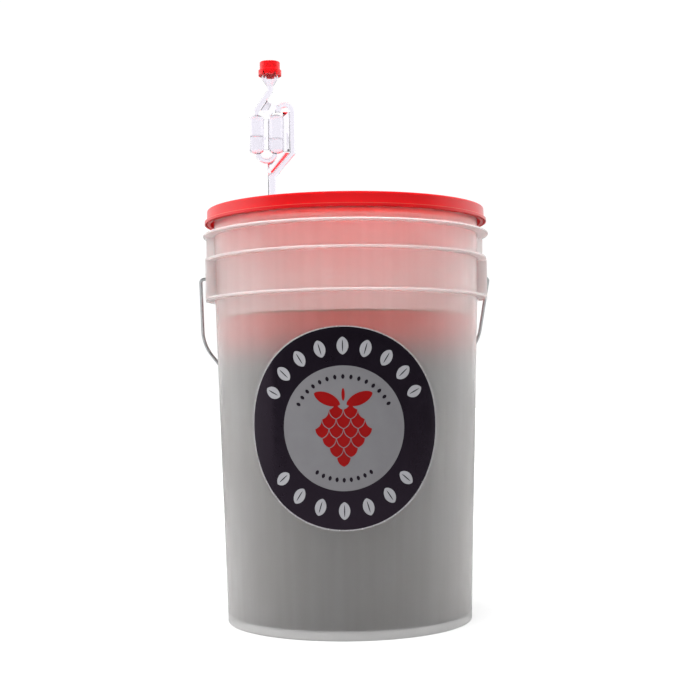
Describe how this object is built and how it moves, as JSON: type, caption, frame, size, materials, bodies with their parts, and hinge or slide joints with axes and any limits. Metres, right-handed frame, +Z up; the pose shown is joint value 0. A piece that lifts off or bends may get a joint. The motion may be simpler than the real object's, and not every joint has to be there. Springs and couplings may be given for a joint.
{
  "type": "fermenting bucket",
  "caption": "Lidded plastic fermenting pail with a swinging wire bail and a twin-bubble airlock in a rubber grommet, for fermenting beer or wine.",
  "frame": {"origin": "on the pail's axis, at the level of the surface it stands on", "axes": "+Z up along the pail's axis; the bail's pivots lie on X; the label faces -Y and the bail hangs towards +Y"},
  "size_m": [0.3308, 0.3256, 0.6198],
  "materials": {
    "pail_plastic": "translucent natural polyethylene, satin",
    "wire": "galvanised drawn wire, dull bright",
    "grip_plastic": "white moulded polyethylene, satin",
    "lid_plastic": "red moulded polyethylene, semi-gloss",
    "gasket_rubber": "pale soft sealing ring",
    "grommet_rubber": "black rubber",
    "clear_plastic": "clear moulded styrene, gloss",
    "cap_plastic": "red moulded polyethylene, semi-gloss",
    "label_film": "printed film, gloss"
  },
  "bodies": {
    "pail": {"bucket_body": "pail_plastic", "front_label": "label_film"},
    "bail": {"bail_wire": "wire"},
    "grip": {"bail_grip": "grip_plastic"},
    "lid": {"lid": "lid_plastic", "lid_gasket": "gasket_rubber"},
    "grommet": {"grommet": "grommet_rubber"},
    "airlock": {"airlock_front_half": "clear_plastic", "airlock_back_half": "clear_plastic"},
    "cap": {"airlock_cap": "cap_plastic"}
  },
  "joints": [
    {"name": "bail_swing", "type": "hinge", "parent": "pail", "child": "bail", "pos_m": [0, 0, 0.381], "axis": [1, 0, 0], "range_deg": [0, 141.4]},
    {"name": "grip_spin", "type": "hinge", "parent": "bail", "child": "grip", "pos_m": [0, 0.15415, 0.18791], "axis": [1, 0, 0], "continuous": true},
    {"name": "lid_lift", "type": "slide", "parent": "pail", "child": "lid", "axis": [0, 0, 1], "range_m": [0, 0.24]},
    {"name": "airlock_turn", "type": "hinge", "parent": "lid", "child": "grommet", "pos_m": [-0.0835, -0.032, 0.44], "axis": [0, 0, 1], "continuous": true},
    {"name": "airlock_pull", "type": "slide", "parent": "grommet", "child": "airlock", "axis": [0, 0, 1], "range_m": [0, 0.05]},
    {"name": "cap_lift", "type": "slide", "parent": "airlock", "child": "cap", "axis": [0, 0, 1], "range_m": [0, 0.02]}
  ]
}
